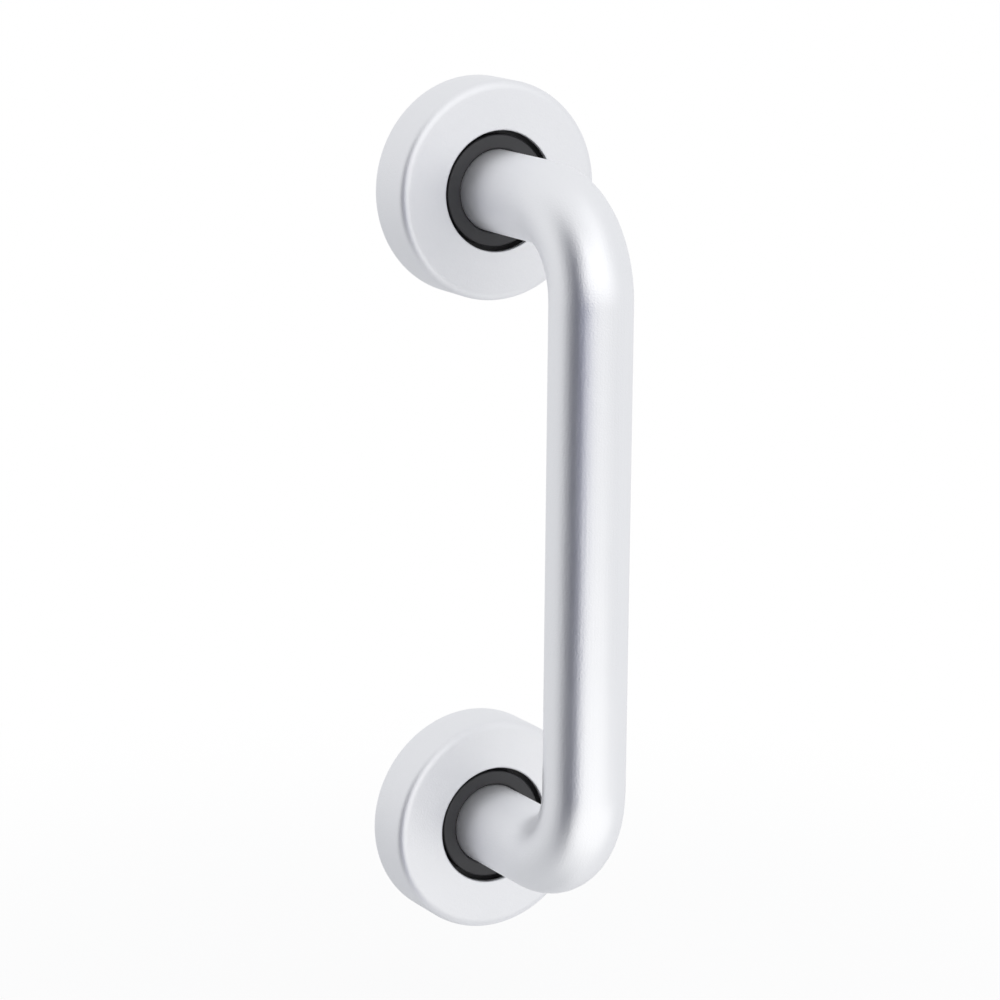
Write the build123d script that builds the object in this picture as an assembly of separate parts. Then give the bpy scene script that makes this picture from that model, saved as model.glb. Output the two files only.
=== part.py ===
"""D pull handle on two roses with concealed fixings.

A solid round bar is bent into a D. Each foot of the bar stands in the hub of a moulded base plate and is
held there by one countersunk screw from behind. The base plate is screwed to the door, and a rose cover, a
shallow metal cap, is pressed over it and hides the fixings. The top of the hub, a dark collar round the
bar, shows in the cover's opening.

Frame: the door's face is the plane Y = 0 and the handle stands out of it along -Y. The grip runs along Z.
The origin lies on the door's face, midway between the two feet. Lengths are in millimetres.
"""

from math import radians, tan
import os

from build123d import *

# Handle bar
fixing_centres = 152.0  # between the axes of the two feet
bar_diameter = 19.0
bar_projection = 63.5  # from the door to the outside of the grip
bend_radius = 20.0  # on the bar's centreline
foot_chamfer = 0.8

# Rose cover
cover_diameter = 51.0
cover_height = 13.0
cover_wall = 1.2
cover_edge_radius = 2.0  # outside, between the skirt and the face
cover_inside_radius = 0.5
opening_gap = 1.0  # between the collar and the edge of the cover's opening, on the radius
opening_edge_radius = 0.4
skirt_chamfer = 0.25

# Base plate
plate_thickness = 3.5
socket_floor = 5.0  # between the door and the bar's foot
collar_wall = 3.4
collar_recess = 1.2  # from the cover's face down to the collar's face
collar_edge_radius = 0.5
socket_lead_in = 0.4  # chamfer round the mouth of the bar's socket
shoulder_drop = 3.0  # from the collar's face down to the shoulder of the hub below it
shoulder_reach = 2.0  # how far the shoulder runs under the cover, beyond its opening
rim_wall = 1.1
rim_lead_in = 0.6
trough_radius = 0.5  # where the trough's floor meets the hub and the rim
rib_thickness = 1.4
rib_height = 5.5  # from the door
rib_count = 4
rim_slot_width = 1.5
rim_slot_count = 4

# Bead round the rim, which clicks into a groove in the cover
bead_height = 0.35
bead_width = 1.6
bead_drop = 3.0  # from the rim's top to the middle of the bead

# Screws
wood_screw_hole = 4.0
wood_screw_head = 6.6
wood_screws_per_plate = 2
foot_screw_diameter = 6.0
foot_screw_length = 16.0  # with the head
foot_screw_head = 12.0
foot_screw_head_rim = 0.3
foot_screw_sink = 0.3  # from the door to the top of the head
foot_screw_tip = 0.6
foot_screw_key = 4.0  # across the flats of the hexagon socket
foot_screw_key_depth = 2.3
tapped_run_out = 2.7  # from the screw's tip to the end of the tapped hole
drill_point_angle = 118.0

# Clearances
socket_clearance = 0.1  # bar in the hub's socket, on the radius
cover_clearance = 0.2  # base plate in the cover, on the radius
cover_seat_clearance = 0.1  # rim's top to the inside of the cover's face
groove_clearance = 0.1  # bead in its groove
thread_clearance = 0.05  # foot screw in the bar, on the radius
foot_screw_clearance = 0.3  # foot screw in the base plate, on the radius
head_clearance = 0.05  # foot screw's head in its countersink, along the axis
overcut = 1.0  # how far a cutting tool runs past a face

# Worked out from the sizes above
bar_radius = bar_diameter / 2
grip_distance = bar_projection - bar_radius
foot_levels = {"upper": fixing_centres / 2, "lower": -fixing_centres / 2}
cover_radius = cover_diameter / 2
cover_inner_radius = cover_radius - cover_wall
cover_inner_height = cover_height - cover_wall
socket_radius = bar_radius + socket_clearance
collar_radius = socket_radius + collar_wall
collar_height = cover_height - collar_recess
opening_radius = collar_radius + opening_gap
hub_radius = opening_radius + shoulder_reach
shoulder_height = collar_height - shoulder_drop
base_radius = cover_inner_radius - cover_clearance
rim_inner_radius = base_radius - rim_wall
rim_height = cover_inner_height - cover_seat_clearance
bead_level = rim_height - bead_drop
wood_screw_circle_radius = (hub_radius + rim_inner_radius) / 2
foot_screw_radius = foot_screw_diameter / 2
foot_screw_head_radius = foot_screw_head / 2
foot_screw_end = foot_screw_sink + foot_screw_length


def on_door(piece, level):
    """Turns a piece made along +Z so that it stands out of the door, and lifts it to its foot's level."""
    return Pos(0, 0, level) * Rot(90, 0, 0) * piece


def outline_face(points):
    """Flat section of a turned piece, from its (radius, height) corners."""
    return make_face(Polyline(points, close=True))


def corner(section, radius, height):
    """The corner of a section that lies nearest to a (radius, height) place."""
    return section.vertices().sort_by_distance((radius, height, 0))[0]


def turned(section):
    """Solid of revolution about Z from a (radius, height) section."""
    return revolve(Plane.XZ * section, Axis.Z)


def bead_outline(grow):
    """Corners of the rim's bead from below to above, made larger by a clearance for the groove."""
    reach = bead_height + grow
    half_width = bead_width / 2 + grow
    return [
        (base_radius, bead_level - half_width),
        (base_radius + reach, bead_level - half_width + reach),
        (base_radius + reach, bead_level + half_width - reach),
        (base_radius, bead_level + half_width),
    ]


def make_tapped_hole():
    """Blind hole for the foot screw, at the thread's full diameter, with a drill point at its end."""
    hole_radius = foot_screw_radius + thread_clearance
    hole_end = foot_screw_end + tapped_run_out
    point_height = hole_radius / tan(radians(drill_point_angle / 2))
    return turned(
        outline_face(
            [
                (0, socket_floor - overcut),
                (hole_radius, socket_floor - overcut),
                (hole_radius, hole_end),
                (0, hole_end + point_height),
            ]
        )
    )


def make_handle_bar():
    """Round bar bent into a D, with chamfered feet and a tapped hole in each."""
    centreline = FilletPolyline(
        (0, -socket_floor, foot_levels["upper"]),
        (0, -grip_distance, foot_levels["upper"]),
        (0, -grip_distance, foot_levels["lower"]),
        (0, -socket_floor, foot_levels["lower"]),
        radius=bend_radius,
    )
    section = Plane(origin=centreline @ 0, z_dir=centreline % 0) * Circle(bar_radius)
    bar = sweep(section, path=centreline)
    foot_rims = bar.edges().filter_by(GeomType.CIRCLE).group_by(Axis.Y)[-1]
    bar = chamfer(foot_rims, foot_chamfer)
    for level in foot_levels.values():
        bar -= on_door(make_tapped_hole(), level)
    return bar


def make_rose_cover():
    """Shallow cap with a rounded edge, an opening for the collar and a groove inside for the rim's bead."""
    section = outline_face(
        [
            (cover_radius, 0),
            (cover_radius, cover_height),
            (opening_radius, cover_height),
            (opening_radius, cover_inner_height),
            (cover_inner_radius, cover_inner_height),
            (cover_inner_radius, 0),
        ]
    )
    section = fillet(corner(section, cover_radius, cover_height), cover_edge_radius)
    section = fillet(corner(section, cover_inner_radius, cover_inner_height), cover_inside_radius)
    section = fillet(corner(section, opening_radius, cover_height), opening_edge_radius)
    section = chamfer(corner(section, cover_radius, 0), skirt_chamfer)
    section = chamfer(corner(section, cover_inner_radius, 0), skirt_chamfer)
    section -= outline_face(bead_outline(groove_clearance))
    return turned(section)


def make_wood_screw_hole():
    """Cutting tool for a fixing hole that is countersunk from the trough."""
    hole_radius = wood_screw_hole / 2
    head_radius = wood_screw_head / 2
    return turned(
        outline_face(
            [
                (0, -overcut),
                (hole_radius, -overcut),
                (hole_radius, plate_thickness - (head_radius - hole_radius)),
                (head_radius, plate_thickness),
                (head_radius, plate_thickness + overcut),
                (0, plate_thickness + overcut),
            ]
        )
    )


def make_foot_screw_hole():
    """Cutting tool for the foot screw's hole, countersunk from the back of the base plate."""
    hole_radius = foot_screw_radius + foot_screw_clearance
    mouth_radius = foot_screw_head_radius + foot_screw_clearance
    mouth_depth = foot_screw_sink + foot_screw_head_rim + head_clearance - foot_screw_clearance
    return turned(
        outline_face(
            [
                (0, -overcut),
                (mouth_radius, -overcut),
                (mouth_radius, mouth_depth),
                (hole_radius, mouth_depth + mouth_radius - hole_radius),
                (hole_radius, socket_floor + overcut),
                (0, socket_floor + overcut),
            ]
        )
    )


def make_ribs():
    """Webs across the trough, from the hub to the rim, between the fixing holes."""
    inner_end = (socket_radius + hub_radius) / 2
    outer_end = rim_inner_radius + rim_wall / 2
    foot = plate_thickness / 2
    rib = Pos((inner_end + outer_end) / 2, 0, (foot + rib_height) / 2) * Box(
        outer_end - inner_end, rib_thickness, rib_height - foot
    )
    return [place * rib for place in PolarLocations(0, rib_count, start_angle=180 / rib_count)]


def make_rim_slots():
    """Cutting tools that split the rim into springy lengths."""
    slot_reach = rim_wall + bead_height + 2 * overcut
    slot_height = rim_height - plate_thickness
    slot = Pos(rim_inner_radius - trough_radius + slot_reach / 2, 0, plate_thickness + slot_height) * Box(
        slot_reach, rim_slot_width, 2 * slot_height
    )
    return [place * slot for place in PolarLocations(0, rim_slot_count)]


def make_base_plate():
    """Moulded disc with a socketed hub for the bar, a springy rim for the cover and the fixing holes.

    The top of the hub is the collar that shows. Its shoulder closes the view past the collar to the fixings.
    """
    section = outline_face(
        [
            (0, 0),
            (base_radius, 0),
            *bead_outline(0),
            (base_radius, rim_height - rim_lead_in),
            (base_radius - rim_lead_in, rim_height),
            (rim_inner_radius, rim_height),
            (rim_inner_radius, plate_thickness),
            (hub_radius, plate_thickness),
            (hub_radius, shoulder_height),
            (collar_radius, shoulder_height),
            (collar_radius, collar_height),
            (socket_radius, collar_height),
            (socket_radius, socket_floor),
            (0, socket_floor),
        ]
    )
    section = fillet(corner(section, collar_radius, collar_height), collar_edge_radius)
    section = chamfer(corner(section, socket_radius, collar_height), socket_lead_in)
    section = fillet(corner(section, hub_radius, plate_thickness), trough_radius)
    section = fillet(corner(section, rim_inner_radius, plate_thickness), trough_radius)
    plate = turned(section)
    plate -= make_rim_slots()
    plate += make_ribs()
    plate -= make_foot_screw_hole()
    for place in PolarLocations(wood_screw_circle_radius, wood_screws_per_plate):
        plate -= place * make_wood_screw_hole()
    return plate


def make_foot_screw():
    """Countersunk machine screw with a hexagon socket, its thread drawn plain."""
    cone_start = foot_screw_sink + foot_screw_head_rim
    screw = turned(
        outline_face(
            [
                (0, foot_screw_sink),
                (foot_screw_head_radius, foot_screw_sink),
                (foot_screw_head_radius, cone_start),
                (foot_screw_radius, cone_start + foot_screw_head_radius - foot_screw_radius),
                (foot_screw_radius, foot_screw_end - foot_screw_tip),
                (foot_screw_radius - foot_screw_tip, foot_screw_end),
                (0, foot_screw_end),
            ]
        )
    )
    key_socket = extrude(RegularPolygon(foot_screw_key / 2, 6, major_radius=False), foot_screw_key_depth)
    return screw - Pos(0, 0, foot_screw_sink) * key_socket


pieces = {"handle_bar": make_handle_bar()}
for side, level in foot_levels.items():
    pieces[f"{side}_base_plate"] = on_door(make_base_plate(), level)
    pieces[f"{side}_rose_cover"] = on_door(make_rose_cover(), level)
    pieces[f"{side}_foot_screw"] = on_door(make_foot_screw(), level)

os.makedirs("parts", exist_ok=True)
for name, piece in pieces.items():
    export_step(piece, f"parts/{name}.step")
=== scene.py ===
# %% [markdown]
# # A satin aluminium pull handle on two roses
#
# The real object is a round bar bent into a D. Its feet go through two round covers, the roses, and a dark
# moulded collar shows round each foot. The solids come from the CAD model, in metres and already in place:
# the door's face is the plane y = 0, the handle stands out of it along -y, and z is up.
#
# A plain metal object lives from its finish and from what it reflects. So this lesson spends its effort on
# three finishes, on a pale studio for them to mirror, and on a camera that stands where the photographer
# did.

import math

import bmesh
import bpy
from mathutils import Matrix, Vector


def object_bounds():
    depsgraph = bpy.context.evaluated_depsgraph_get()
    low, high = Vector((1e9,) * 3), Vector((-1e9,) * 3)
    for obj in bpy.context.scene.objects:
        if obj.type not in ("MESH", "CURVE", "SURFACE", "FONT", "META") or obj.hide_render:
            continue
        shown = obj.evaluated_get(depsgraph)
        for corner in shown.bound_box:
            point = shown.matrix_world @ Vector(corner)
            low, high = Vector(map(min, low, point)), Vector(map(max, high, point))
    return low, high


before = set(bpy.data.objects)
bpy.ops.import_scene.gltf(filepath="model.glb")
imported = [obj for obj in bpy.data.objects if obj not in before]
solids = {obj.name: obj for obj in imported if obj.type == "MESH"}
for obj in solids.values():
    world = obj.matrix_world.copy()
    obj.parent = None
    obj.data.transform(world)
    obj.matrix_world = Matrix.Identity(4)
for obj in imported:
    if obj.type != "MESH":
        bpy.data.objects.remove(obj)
cad_low, cad_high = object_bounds()

scene = bpy.context.scene
scene.view_settings.view_transform = "Standard"

for solid_name in sorted(solids):
    print(solid_name, len(solids[solid_name].data.polygons), "faces")

# %% [markdown]
# ## Shader maths as Python
#
# Finishes are small formulas: a little grain here, a cloud of roughness there. They could be built by
# adding every node by hand, but then the formula gets lost among the links. A thin wrapper round a socket
# keeps it readable. Adding or multiplying two wrapped values adds the Math node that does it, and one
# method adds any other kind of node. A Mix node has sockets of the same name for numbers, vectors and
# colours, so they are picked by their places in its list: both inputs and the result.

# %% A wrapped socket, and a tree that adds nodes
MIX_FACTOR = 0
MIX_PLACES = {"VECTOR": (4, 5, 1), "RGBA": (6, 7, 2)}


class Wire:
    """What comes out of a node, with the arithmetic that the finishes need."""

    def __init__(self, board, socket):
        self.board = board
        self.socket = socket

    def __add__(self, other):
        return self.board.math("ADD", self, other)

    def __radd__(self, other):
        return self.board.math("ADD", other, self)

    def __sub__(self, other):
        return self.board.math("SUBTRACT", self, other)

    def __rsub__(self, other):
        return self.board.math("SUBTRACT", other, self)

    def __mul__(self, other):
        return self.board.math("MULTIPLY", self, other)

    def __rmul__(self, other):
        return self.board.math("MULTIPLY", other, self)

    def __truediv__(self, other):
        return self.board.math("DIVIDE", self, other)

    def __rtruediv__(self, other):
        return self.board.math("DIVIDE", other, self)


class Board:
    """The empty node tree of a material or of the world, ready to be wired up."""

    def __init__(self, owner):
        owner.use_nodes = True
        self.tree = owner.node_tree
        self.tree.nodes.clear()

    def node(self, kind, settings=None, sockets=None, output=0):
        """Adds a node: its settings first, then its sockets' values or links. Gives one output back."""
        made = self.tree.nodes.new(kind)
        for name, value in (settings or {}).items():
            setattr(made, name, value)
        for key, value in (sockets or {}).items():
            if isinstance(value, Wire):
                self.tree.links.new(value.socket, made.inputs[key])
            else:
                made.inputs[key].default_value = value
        return Wire(self, made.outputs[output]) if made.outputs else None

    def math(self, operation, *numbers):
        """One Math node on wires and plain numbers."""
        return self.node("ShaderNodeMath", {"operation": operation}, dict(enumerate(numbers)))

    def ease(self, value, start, end):
        """Smooth step from 0 at start to 1 at end. As the value grows it falls where end is the smaller."""
        settings = {"interpolation_type": "SMOOTHSTEP"}
        span = {"Value": value, "From Min": min(start, end), "From Max": max(start, end)}
        rising = self.node("ShaderNodeMapRange", settings, span)
        return rising if start < end else 1 - rising

    def blend(self, factor, first, second, kind="RGBA"):
        """A colour between two colours, or a vector between two vectors."""
        first_place, second_place, result = MIX_PLACES[kind]
        sockets = {MIX_FACTOR: factor, first_place: first, second_place: second}
        return self.node("ShaderNodeMix", {"data_type": kind}, sockets, result)

    def either(self, factor, first, second):
        """The first shader where the factor is 0, and the second where it is 1."""
        return self.node("ShaderNodeMixShader", {}, dict(enumerate((factor, first, second))))

    def noise(self, place, scale, detail):
        """Soft noise whose blots are about one over scale across."""
        sockets = {"Vector": place, "Scale": scale, "Detail": detail}
        return self.node("ShaderNodeTexNoise", {}, sockets, "Fac")

    def place(self):
        """A point's place in metres, from the origin of its object. On the solids this is the CAD frame."""
        return self.node("ShaderNodeTexCoord", output="Object")

    def axes(self, vector):
        """The x, y and z of a vector."""
        split = self.node("ShaderNodeSeparateXYZ", {}, {"Vector": vector}).socket.node
        return [Wire(self, out) for out in split.outputs]

    def vector(self, x, y, z):
        """A vector from three numbers or wires."""
        return self.node("ShaderNodeCombineXYZ", {}, {"X": x, "Y": y, "Z": z})

    def bump(self, height, depth, normal=None):
        """A surface normal that is tilted by a height map whose full range is depth metres."""
        sockets = {"Height": height, "Strength": 1.0, "Distance": depth}
        if normal is not None:
            sockets["Normal"] = normal
        return self.node("ShaderNodeBump", {}, sockets)

    def surface(self, sockets):
        """A Principled shader with these sockets, led to the material's output."""
        shader = self.node("ShaderNodeBsdfPrincipled", {}, sockets)
        self.node("ShaderNodeOutputMaterial", {}, {"Surface": shader})


def new_finish(name):
    """A named material and its empty board."""
    material = bpy.data.materials.new(name)
    return material, Board(material)


def wear(material, *names):
    """Gives solids their finish in place of the plain one that they came with."""
    for name in names:
        solids[name].data.materials.clear()
        solids[name].data.materials.append(material)
    print(material.name, "is on", ", ".join(names))


# %% [markdown]
# ## Marks of the tools
#
# A drawn bar keeps faint lines from the die that it was pulled through, a finger's width long, which run
# along it and round its bends. They are far too fine to be modelled, so noise draws them. The bar's middle
# line lies in the plane x = 0, so lines of equal x run along the whole D, and noise that hardly depends on
# y and z is streaked in just that way. A pressed cover keeps faint rings instead: there the noise depends
# only on the distance from the axis of the foot.

# %% Lines along the bar and rings round a foot
FOOT_LEVEL = 0.076
LINES_PER_METRE = 1900
LINES_STRETCH = 0.02
RINGS_PER_METRE = 1500


def die_lines(board, place):
    """Lines along the bar."""
    x, y, z = board.axes(place)
    streaked = board.vector(x, LINES_STRETCH * y, LINES_STRETCH * z)
    return board.noise(streaked, LINES_PER_METRE, detail=2)


def rings_round_foot(board, place, per_metre):
    """Rings round the axis of the nearer foot."""
    x, _, z = board.axes(place)
    height = board.math("ABSOLUTE", z) - FOOT_LEVEL
    radius = board.math("SQRT", x * x + height * height)
    return board.noise(board.vector(radius, 0.0, 0.0), per_metre, detail=2)


def press_rings(board, place):
    """Rings round the opening of a cover."""
    return rings_round_foot(board, place, RINGS_PER_METRE)


print("die lines are about", round(1 / (LINES_PER_METRE * LINES_STRETCH), 3), "m long")

# %% [markdown]
# ## A smooth normal for the bar
#
# The mesh has a normal at each corner only, and where a bend meets the straight grip those normals jump a
# few degrees, which cuts a line across the reflection. A finer mesh would make the jump smaller, but the
# solid is to stay as it came. The true normal of a round bar is easy to write down: it points straight
# away from the nearest point of the bar's middle line. So the bar's finish works it out from the place.
# Past the bends the legs are plain cylinders, whose own normals are right. The legs keep those, and so do
# the ends of the feet and the holes in them, where the formula wouldn't hold.

# %% Straight away from the middle line
GRIP_DEPTH = -0.054
BEND_RADIUS = 0.020
LEG_FROM = -0.030


def bar_normal(board, place):
    """Straight away from the bar's middle line on the grip and the bends, and the mesh's own on the legs."""
    x, y, z = board.axes(place)
    ahead = board.math("MINIMUM", y - GRIP_DEPTH - BEND_RADIUS, 0.0)
    above = board.math("MAXIMUM", board.math("ABSOLUTE", z) - FOOT_LEVEL + BEND_RADIUS, 0.0)
    reach = board.math("SQRT", ahead * ahead + above * above)
    share = 1 - BEND_RADIUS / reach
    away = board.vector(x, ahead * share, above * share * board.math("SIGN", z))
    smooth = board.node("ShaderNodeVectorMath", {"operation": "NORMALIZE"}, {"Vector": away})
    own = board.node("ShaderNodeNewGeometry", output="Normal")
    return board.blend(board.math("GREATER_THAN", y, LEG_FROM), smooth, own, "VECTOR")


print("the bends start", round(FOOT_LEVEL - BEND_RADIUS, 3), "m above and below the middle")

# %% [markdown]
# ## Satin anodised aluminium
#
# The bar and the covers are etched to a silky grey and then anodised. Close up, the etch is a fine even
# grain that blurs every reflection; from further off it is only a soft sheen. A rough metal shader gives
# the sheen. The grain is real relief, some hundredths of a millimetre deep, so it goes in as bump and as a
# matching change of roughness, and the marks of the tools go in beside it.
#
# The grip is a little silkier than the rest, because cloths and hands polish it. So the roughness rises
# towards the door, from the bends to the feet, and a small share of the light is scattered there instead
# of mirrored. The covers are duller than the grip, and a shade greyer than the bar.

# %% Aluminium for the bar and for the covers
BAR_COLOURS = ((0.860, 0.866, 0.885, 1), (0.905, 0.910, 0.925, 1))
COVER_COLOURS = ((0.835, 0.841, 0.860, 1), (0.875, 0.880, 0.895, 1))
SATIN_ROUGHNESS = 0.34
FOOT_MATT = 0.14
COVER_MATT = 0.12
MATT_FROM = -0.058
MATT_TO = -0.022
SCATTER = 0.18
GRAIN_PER_METRE = 2500
GRAIN_DEPTH = 4.8e-5
GRAIN_IN_ROUGHNESS = 0.06
CLOUD_PER_METRE = 60
CLOUD_IN_COLOUR = 0.65
CLOUD_IN_ROUGHNESS = 0.05
MARK_IN_ROUGHNESS = 0.05
LINES_IN_BUMP = 0.5
RINGS_IN_BUMP = 0.15
NOISE_MIDDLE = 0.5


def vary(value, *patterns):
    """A value that each pattern raises or lowers by up to half of its share."""
    for pattern, share in patterns:
        value = value + share * (pattern - NOISE_MIDDLE)
    return value


def satin_aluminium(name, marks, relief, colours, matt, normal=None):
    """Etched and anodised aluminium, with the faint marks of the tool that shaped it."""
    material, board = new_finish(name)
    place = board.place()
    grain = board.noise(place, GRAIN_PER_METRE, detail=2)
    cloud = board.noise(place, CLOUD_PER_METRE, detail=3)
    mark = marks(board, place)
    _, y, _ = board.axes(place)
    dull = board.ease(y, MATT_FROM, MATT_TO)
    roughness = vary(
        SATIN_ROUGHNESS + matt * dull,
        (grain, GRAIN_IN_ROUGHNESS),
        (cloud, CLOUD_IN_ROUGHNESS),
        (mark, MARK_IN_ROUGHNESS),
    )
    smooth = normal(board, place) if normal else None
    board.surface(
        {
            "Base Color": board.blend(CLOUD_IN_COLOUR * cloud + (1 - CLOUD_IN_COLOUR) * mark, *colours),
            "Metallic": 1 - SCATTER * dull,
            "Roughness": roughness,
            "Normal": board.bump(grain + relief * mark, GRAIN_DEPTH, smooth),
        }
    )
    return material


bar_finish = satin_aluminium(
    "satin_aluminium_bar", die_lines, LINES_IN_BUMP, BAR_COLOURS, FOOT_MATT, bar_normal
)
cover_finish = satin_aluminium(
    "satin_aluminium_cover", press_rings, RINGS_IN_BUMP, COVER_COLOURS, COVER_MATT
)
wear(bar_finish, "handle_bar")
wear(cover_finish, "upper_rose_cover", "lower_rose_cover")

# %% [markdown]
# ## Black nylon
#
# The base plates are moulded from black nylon. From the front only their collars show, as dull charcoal
# rings. Nylon isn't quite black under studio light: its skin mirrors a few hundredths of what is round it.
# The mould is spark eroded, which leaves a fine even pebble, and here and there the skin is a little
# glossier where it flowed.

# %% Nylon for the base plates
NYLON_DARK = (0.024, 0.024, 0.026, 1)
NYLON_PALE = (0.042, 0.042, 0.045, 1)
NYLON_ROUGHNESS = 0.46
PEBBLE_PER_METRE = 4200
PEBBLE_DEPTH = 6e-6
PEBBLE_IN_COLOUR = 0.5
PEBBLE_IN_ROUGHNESS = 0.12
FLOW_PER_METRE = 140
FLOW_IN_ROUGHNESS = 0.10


def black_nylon():
    """Moulded black plastic with a spark-eroded skin."""
    material, board = new_finish("black_nylon_moulded")
    place = board.place()
    pebble = board.noise(place, PEBBLE_PER_METRE, detail=1)
    flow = board.noise(place, FLOW_PER_METRE, detail=3)
    tone = PEBBLE_IN_COLOUR * pebble + (1 - PEBBLE_IN_COLOUR) * flow
    board.surface(
        {
            "Base Color": board.blend(tone, NYLON_DARK, NYLON_PALE),
            "Roughness": vary(NYLON_ROUGHNESS, (pebble, PEBBLE_IN_ROUGHNESS), (flow, FLOW_IN_ROUGHNESS)),
            "Normal": board.bump(pebble, PEBBLE_DEPTH),
        }
    )
    return material


wear(black_nylon(), "upper_base_plate", "lower_base_plate")

# %% [markdown]
# ## Plated steel
#
# From behind, the heads of the two foot screws show. They are turned steel with a bright zinc plating:
# faint rings from the tool, and a plating that shifts a little between blue and straw.

# %% Plating for the foot screws
ZINC_BLUE = (0.60, 0.63, 0.68, 1)
ZINC_STRAW = (0.66, 0.64, 0.58, 1)
ZINC_ROUGHNESS = 0.26
TURNING_PER_METRE = 3000
TURNING_DEPTH = 5e-6
TURNING_IN_ROUGHNESS = 0.14
TINT_PER_METRE = 260
TINT_IN_ROUGHNESS = 0.08


def plated_steel():
    """Turned and zinc-plated steel."""
    material, board = new_finish("plated_steel_turned")
    place = board.place()
    turning = rings_round_foot(board, place, TURNING_PER_METRE)
    tint = board.noise(place, TINT_PER_METRE, detail=2)
    board.surface(
        {
            "Base Color": board.blend(tint, ZINC_BLUE, ZINC_STRAW),
            "Metallic": 1.0,
            "Roughness": vary(ZINC_ROUGHNESS, (turning, TURNING_IN_ROUGHNESS), (tint, TINT_IN_ROUGHNESS)),
            "Normal": board.bump(turning, TURNING_DEPTH),
        }
    )
    return material


wear(plated_steel(), "upper_foot_screw", "lower_foot_screw")

# %% [markdown]
# ## The studio
#
# Satin metal shows the room as a blur. The long soft dark band down the bar is the one side of the studio
# that no panel covers, to the left of the camera, and the bright flank beside it is the white in front. A
# few lamps would leave hard patches, so the room itself is drawn in the world's shader: white all round,
# with a bright panel in front, a dimmer strip below that, a greyer rear and one dark gap that turns bluish
# towards the panel. Each edge is a span of degrees, over which one tone eases into the next. The angles
# are read off the reflections on the bar: where the band leans or narrows on the real one, the sides of
# the gap turn with height. Rays straight from the camera see plain white instead.

# %% The room round the handle
PLAIN_WHITE = (1, 1, 1, 1)
ROOM_WHITE = (0.90, 0.905, 0.92, 1)
ROOM_FRONT = (1.24, 1.24, 1.25, 1)
ROOM_LOW = (0.80, 0.805, 0.82, 1)
ROOM_REAR = (0.66, 0.67, 0.69, 1)
ROOM_GAP = (0.080, 0.084, 0.112, 1)
ROOM_GAP_EDGE = (0.070, 0.090, 0.27, 1)

FRONT_AZIMUTH = -7
FRONT_LEFT, FRONT_RIGHT = (-66, -42), (60, 18)
FRONT_FOOT, FRONT_TOP = (-15, 8), (58, 36)
LOW_LEFT, LOW_RIGHT, LOW_TOP = (-60, -34), (76, 26), (-2, -12)
REAR_AZIMUTH = -165
REAR_SIDES, REAR_TOP = (80, 30), (15, -40)
GAP_AZIMUTH = -60
GAP_LEFT, GAP_RIGHT = (-57, -11), (48, 32)
GAP_FOOT, GAP_TOP = (-80, -14), (60, 24)
GAP_EDGE = (-5, 22)
LEFT_TURN, LEFT_TURN_SPAN = 14, (-13, -18)
RIGHT_TURN, RIGHT_TURN_SPAN = 18, (-14.5, -9.5)
HIGH_TURN, HIGH_TURN_SPAN = 14, (-6, 4)


def bearing(board, x, y, azimuth):
    """How far a direction lies from an azimuth, in degrees. Azimuth 0 looks out of the door, along -y."""
    turn = math.radians(azimuth)
    ahead = x * math.sin(turn) - y * math.cos(turn)
    aside = x * math.cos(turn) + y * math.sin(turn)
    return board.math("ARCTAN2", aside, ahead) * math.degrees(1)


def make_room():
    """White walls with a bright panel in front, a dimmer strip below it, a greyer rear and a dark gap."""
    world = bpy.data.worlds.new("studio")
    scene.world = world
    board = Board(world)
    direction = board.node("ShaderNodeTexCoord", output="Generated")
    x, y, z = board.axes(direction)
    rise = board.math("ARCSINE", z) * math.degrees(1)
    from_gap = bearing(board, x, y, GAP_AZIMUTH)
    from_front = bearing(board, x, y, FRONT_AZIMUTH)
    from_rear = board.math("ABSOLUTE", bearing(board, x, y, REAR_AZIMUTH))

    front = board.ease(from_front, *FRONT_LEFT) * board.ease(from_front, *FRONT_RIGHT)
    front = front * board.ease(rise, *FRONT_FOOT) * board.ease(rise, *FRONT_TOP)
    low = board.ease(from_front, *LOW_LEFT) * board.ease(from_front, *LOW_RIGHT)
    low = low * board.ease(rise, *LOW_TOP)
    rear = board.ease(from_rear, *REAR_SIDES) * board.ease(rise, *REAR_TOP)
    left_turn = LEFT_TURN * board.ease(rise, *LEFT_TURN_SPAN)
    right_turn = RIGHT_TURN * board.ease(rise, *RIGHT_TURN_SPAN)
    right_turn = right_turn + HIGH_TURN * board.ease(rise, *HIGH_TURN_SPAN)
    gap = board.ease(from_gap + left_turn, *GAP_LEFT) * board.ease(from_gap + right_turn, *GAP_RIGHT)
    gap = gap * board.ease(rise, *GAP_FOOT) * board.ease(rise, *GAP_TOP)

    gap_tone = board.blend(board.ease(from_gap, *GAP_EDGE), ROOM_GAP, ROOM_GAP_EDGE)
    tone = board.blend(front, ROOM_WHITE, ROOM_FRONT)
    for share, colour in ((low, ROOM_LOW), (rear, ROOM_REAR), (gap, gap_tone)):
        tone = board.blend(share, tone, colour)
    room = board.node("ShaderNodeBackground", {}, {"Color": tone})
    plain = board.node("ShaderNodeBackground", {}, {"Color": PLAIN_WHITE})
    seen = board.node("ShaderNodeLightPath", output="Is Camera Ray")
    board.node("ShaderNodeOutputWorld", {}, {"Surface": board.either(seen, room, plain)})
    print("world has", len(board.tree.nodes), "nodes")


make_room()

# %% [markdown]
# A softbox overhead lifts the upper bend a little and throws the soft shadow that a floor shows. It is
# large and not strong, so a colour still renders about as it is written.

# %% One softbox overhead
SOFTBOX_PLACE = (0.25, -0.55, 1.10)
SOFTBOX_AIM = (0, -0.03, 0)
SOFTBOX_SIZE = 0.8
SOFTBOX_WATTS = 0.3


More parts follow.
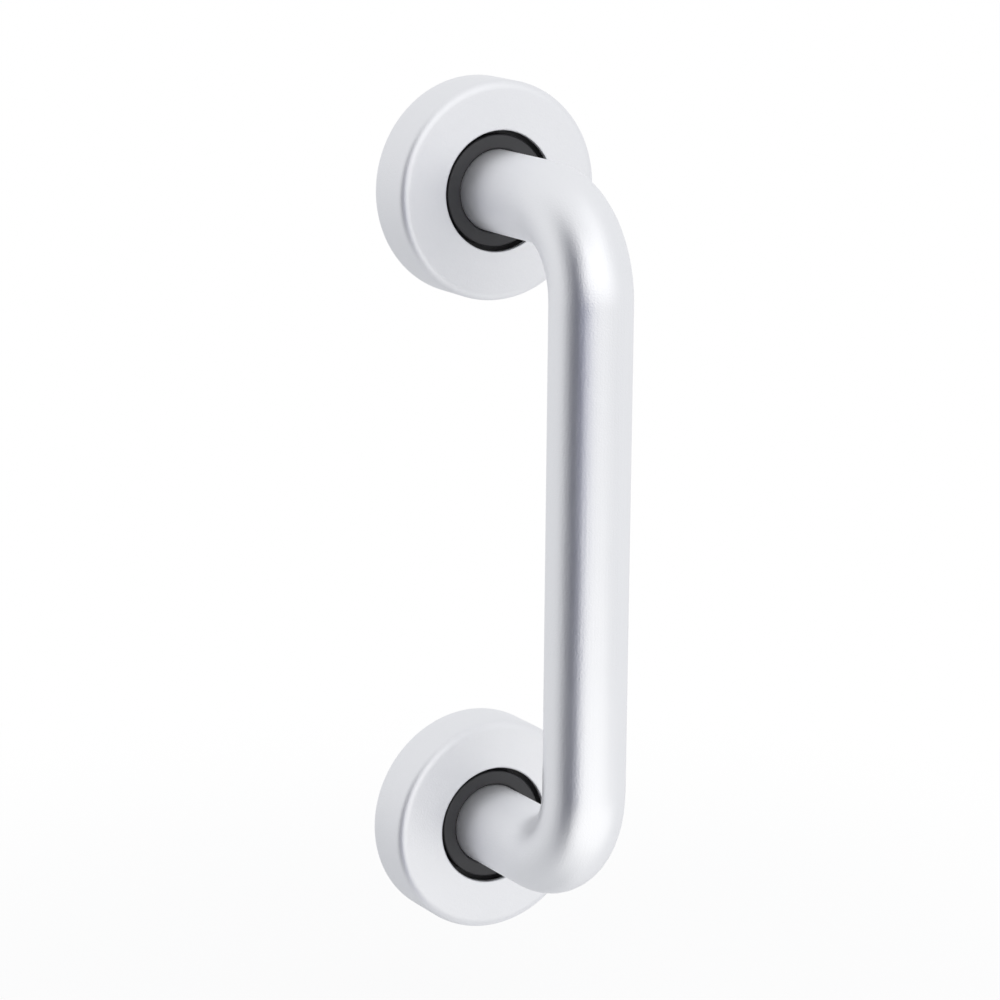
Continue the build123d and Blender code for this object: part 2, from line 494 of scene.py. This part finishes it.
def make_softbox():
    """A square area lamp that faces the handle."""
    lamp = bpy.data.lights.new("overhead_softbox", "AREA")
    lamp.shape = "SQUARE"
    lamp.size = SOFTBOX_SIZE
    lamp.energy = SOFTBOX_WATTS
    holder = bpy.data.objects.new(lamp.name, lamp)
    holder.location = SOFTBOX_PLACE
    beam = Vector(SOFTBOX_AIM) - Vector(SOFTBOX_PLACE)
    holder.rotation_euler = beam.to_track_quat("-Z", "Y").to_euler()
    scene.collection.objects.link(holder)
    print(holder.name, "gives", round(SOFTBOX_WATTS / (math.pi * SOFTBOX_SIZE**2), 3), "in a mirror")


make_softbox()

# %% [markdown]
# ## The floor
#
# The handle belongs on a door, so it hangs free and the pale floor lies three centimetres below it. In the
# picture the floor has to melt into the white, and still it should carry a shadow. Rays from the camera
# therefore see mostly plain white, and near the middle a share of the lit surface with the shadow on it.
#
# The metal mirrors the floor too. In front of the handle it shows as a white table, which brightens the
# lower rose and the lower bend. The table is a wedge that opens from under the handle, between two
# bearings. To its left and behind it, mirrored rays pass through to the room, so that the dark band runs
# down to the lower bend.

# %% A pale round floor
FLOOR_DROP = 0.03
FLOOR_RADIUS = 0.80
FLOOR_SEGMENTS = 96
FLOOR_PALE = (0.90, 0.90, 0.905, 1)
FLOOR_IN_METAL = 1.16
SHADOW_RADIUS = 0.30
SHADOW_CORE = 0.3
SHADOW_SHARE = 0.15
TABLE_LEFT_FROM, TABLE_LEFT_AZIMUTH, TABLE_LEFT = (-0.05, -0.06), -41, (-12, 12)
TABLE_RIGHT_FROM, TABLE_RIGHT_AZIMUTH, TABLE_RIGHT = (0.0, -0.05), 60, (15, -15)
TABLE_SIDE = (0.24, 0.08)
TABLE_FAR = (-0.60, -0.40)
TABLE_NEAR = (-0.045, -0.11)


def bearing_from(board, x, y, corner, azimuth):
    """The bearing of a place on the floor, as seen from a corner."""
    corner_x, corner_y = corner
    return bearing(board, x - corner_x, y - corner_y, azimuth)


def white_table(board, x, y):
    """How much of the white table shows at a place on the floor."""
    left = bearing_from(board, x, y, TABLE_LEFT_FROM, TABLE_LEFT_AZIMUTH)
    right = bearing_from(board, x, y, TABLE_RIGHT_FROM, TABLE_RIGHT_AZIMUTH)
    wedge = board.ease(left, *TABLE_LEFT) * board.ease(right, *TABLE_RIGHT)
    return wedge * board.ease(x, *TABLE_SIDE) * board.ease(y, *TABLE_FAR) * board.ease(y, *TABLE_NEAR)


def pale_floor():
    """Matt and pale: to the camera white but for its shadow, and in the metal a white table."""
    material, board = new_finish("pale_floor")
    x, y, _ = board.axes(board.place())
    near = board.ease(board.math("SQRT", x * x + y * y), SHADOW_RADIUS, SHADOW_CORE * SHADOW_RADIUS)
    lit = board.node("ShaderNodeBsdfDiffuse", {}, {"Color": FLOOR_PALE})
    plain = board.node("ShaderNodeEmission", {}, {"Color": PLAIN_WHITE})
    bright = board.node("ShaderNodeEmission", {}, {"Strength": FLOOR_IN_METAL})
    clear = board.node("ShaderNodeBsdfTransparent")
    seen = board.node("ShaderNodeLightPath", output="Is Camera Ray")
    mirrored = board.node("ShaderNodeLightPath", output="Is Glossy Ray")
    in_metal = board.either(white_table(board, x, y), clear, bright)
    in_picture = board.either(1 - SHADOW_SHARE * near, lit, plain)
    unseen = board.either(mirrored, lit, in_metal)
    board.node("ShaderNodeOutputMaterial", {}, {"Surface": board.either(seen, unseen, in_picture)})
    return material


def make_floor():
    """A flat round sheet below the lowest point of the handle."""
    sheet = bmesh.new()
    bmesh.ops.create_circle(sheet, cap_ends=True, segments=FLOOR_SEGMENTS, radius=FLOOR_RADIUS)
    mesh = bpy.data.meshes.new("floor")
    sheet.to_mesh(mesh)
    sheet.free()
    mesh.materials.append(pale_floor())
    floor = bpy.data.objects.new("floor", mesh)
    floor.location = (0, 0, cad_low.z - FLOOR_DROP)
    scene.collection.objects.link(floor)
    print("floor lies at z =", round(floor.location.z, 3))


make_floor()

# %% [markdown]
# ## The camera
#
# A pinhole camera was fitted to the edges of the bar and the covers in the photograph. It stands to the
# left and a little above, almost a metre away, with a long lens. Its three axes are built from its turn,
# its tilt and its small roll, which are in radians.

# %% Camera where the photographer stood
CAMERA_PLACE = (-0.41453, -0.73760, 0.19002)
CAMERA_YAW = 0.5204
CAMERA_PITCH = -0.2199
CAMERA_ROLL = 0.0095
CAMERA_LENS = 131.72
CAMERA_SENSOR = 36.0
CAMERA_NEAREST = 0.05
CAMERA_FARTHEST = 20


def camera_axes():
    """Right, up and back of the camera, as the columns of a rotation."""
    ahead = Vector(
        (
            math.sin(CAMERA_YAW) * math.cos(CAMERA_PITCH),
            math.cos(CAMERA_YAW) * math.cos(CAMERA_PITCH),
            math.sin(CAMERA_PITCH),
        )
    )
    level = Vector((math.cos(CAMERA_YAW), -math.sin(CAMERA_YAW), 0))
    upright = level.cross(ahead)
    right = math.cos(CAMERA_ROLL) * level + math.sin(CAMERA_ROLL) * upright
    up = math.cos(CAMERA_ROLL) * upright - math.sin(CAMERA_ROLL) * level
    return Matrix((right, up, -ahead)).transposed()


def make_camera():
    """The camera of the main picture."""
    lens = bpy.data.cameras.new("camera")
    lens.lens = CAMERA_LENS
    lens.sensor_width = CAMERA_SENSOR
    lens.clip_start = CAMERA_NEAREST
    lens.clip_end = CAMERA_FARTHEST
    camera = bpy.data.objects.new("camera", lens)
    camera.matrix_world = Matrix.Translation(CAMERA_PLACE) @ camera_axes().to_4x4()
    scene.collection.objects.link(camera)
    scene.camera = camera
    print("camera is", round(Vector(CAMERA_PLACE).length, 3), "m from the handle's middle")


make_camera()
